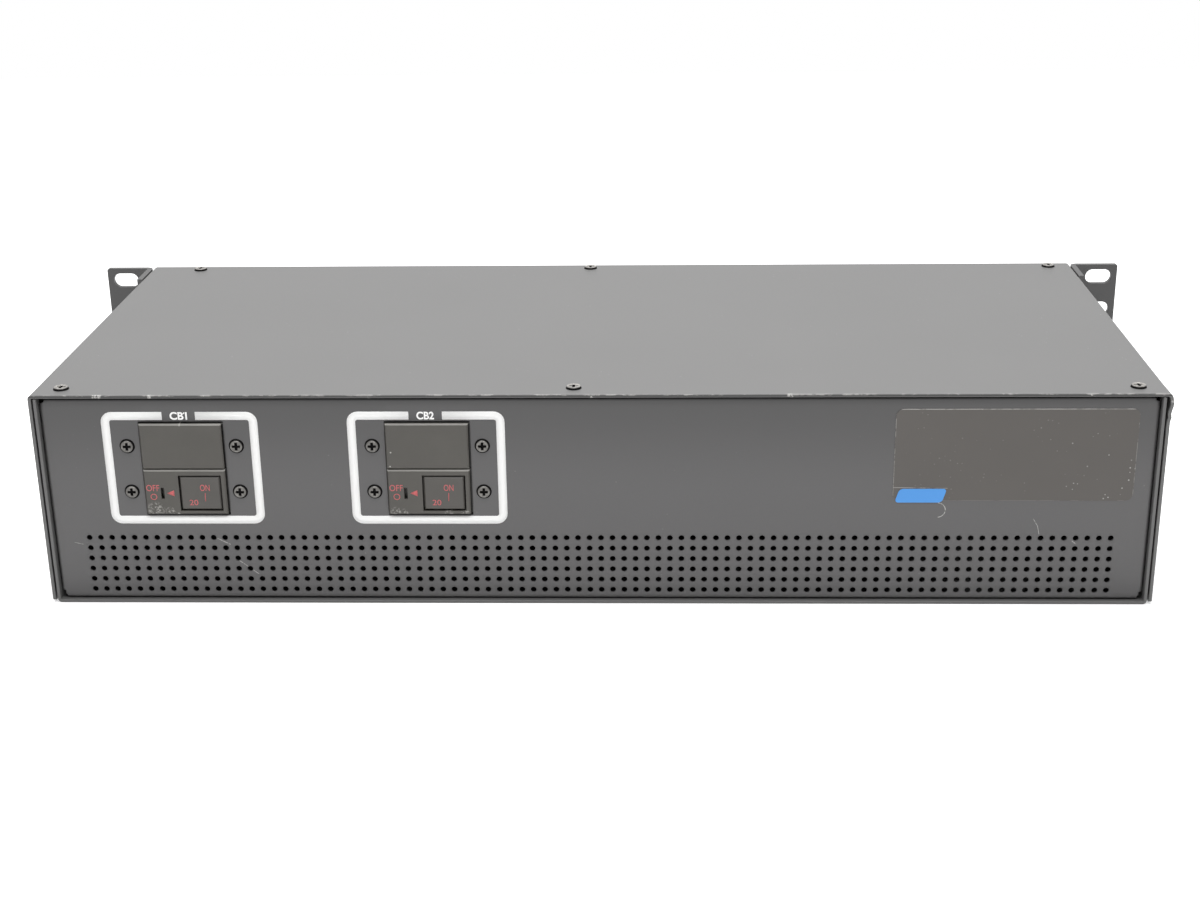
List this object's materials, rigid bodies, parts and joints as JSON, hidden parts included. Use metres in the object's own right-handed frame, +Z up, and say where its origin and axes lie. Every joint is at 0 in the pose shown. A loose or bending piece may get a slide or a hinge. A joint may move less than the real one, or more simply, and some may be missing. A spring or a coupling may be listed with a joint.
{
  "type": "rack power distribution unit",
  "caption": "Low rack-mounted power distribution unit: dark steel chassis with rack ears, a vented panel with guarded rocker breakers, and outlet banks at the other side.",
  "frame": {"origin": "centre of the chassis underside, where it rests on a shelf", "axes": "+Z up, -Y out of the breaker panel, +X to the right seen from the breakers"},
  "size_m": [0.4826, 0.2161, 0.089],
  "materials": {
    "chassis_paint": "satin dark grey powder coat, fine texture",
    "ear_paint": "satin black powder coat",
    "black_screw": "black oxide",
    "zinc_steel": "bright zinc",
    "breaker_plastic": "moulded black, satin",
    "rocker_plastic": "moulded black, satin",
    "outlet_plastic": "moulded black, matt",
    "tinned_copper": "tinned",
    "brass_strip": "rolled strip",
    "gland_plastic": "moulded black, matt",
    "seal_rubber": "matt",
    "block_plastic": "moulded black, matt"
  },
  "bodies": {
    "chassis": {"base_tray": "chassis_paint", "top_cover": "chassis_paint", "front_panel": "chassis_paint", "rear_panel": "chassis_paint", "rack_ear_left": "ear_paint", "rack_ear_right": "ear_paint", "ear_screws": "black_screw", "ear_nuts": "zinc_steel", "cover_screws": "black_screw", "breaker_screws": "black_screw", "breaker_1_upper_pole": "breaker_plastic", "breaker_1_lower_pole": "breaker_plastic", "breaker_1_guard": "breaker_plastic", "breaker_1_pin": "zinc_steel", "breaker_1_terminals": "tinned_copper", "outlet_bank_1_frame": "outlet_plastic", "outlet_bank_1_cores": "outlet_plastic", "outlet_bank_1_contacts": "brass_strip", "outlet_bank_1_bus_bars": "tinned_copper", "outlet_bank_1_back": "outlet_plastic", "breaker_2_upper_pole": "breaker_plastic", "breaker_2_lower_pole": "breaker_plastic", "breaker_2_guard": "breaker_plastic", "breaker_2_pin": "zinc_steel", "breaker_2_terminals": "tinned_copper", "outlet_bank_2_frame": "outlet_plastic", "outlet_bank_2_cores": "outlet_plastic", "outlet_bank_2_contacts": "brass_strip", "outlet_bank_2_bus_bars": "tinned_copper", "outlet_bank_2_back": "outlet_plastic", "gland_body": "gland_plastic", "gland_seal": "seal_rubber", "gland_nut": "gland_plastic", "gland_locknut": "gland_plastic", "terminal_block": "block_plastic", "clamp_screws": "zinc_steel", "terminal_block_screws": "zinc_steel", "earth_stud": "zinc_steel", "earth_nut": "zinc_steel"},
    "rocker_1": {"breaker_1_rocker": "rocker_plastic"},
    "rocker_2": {"breaker_2_rocker": "rocker_plastic"}
  },
  "joints": [
    {"name": "rocker_1_hinge", "type": "hinge", "parent": "chassis", "child": "rocker_1", "pos_m": [-0.159, -0.09135, 0.0471], "axis": [0, 0, -1], "range_deg": [0, 10]},
    {"name": "rocker_2_hinge", "type": "hinge", "parent": "chassis", "child": "rocker_2", "pos_m": [-0.063, -0.09135, 0.0471], "axis": [0, 0, -1], "range_deg": [0, 10]}
  ]
}
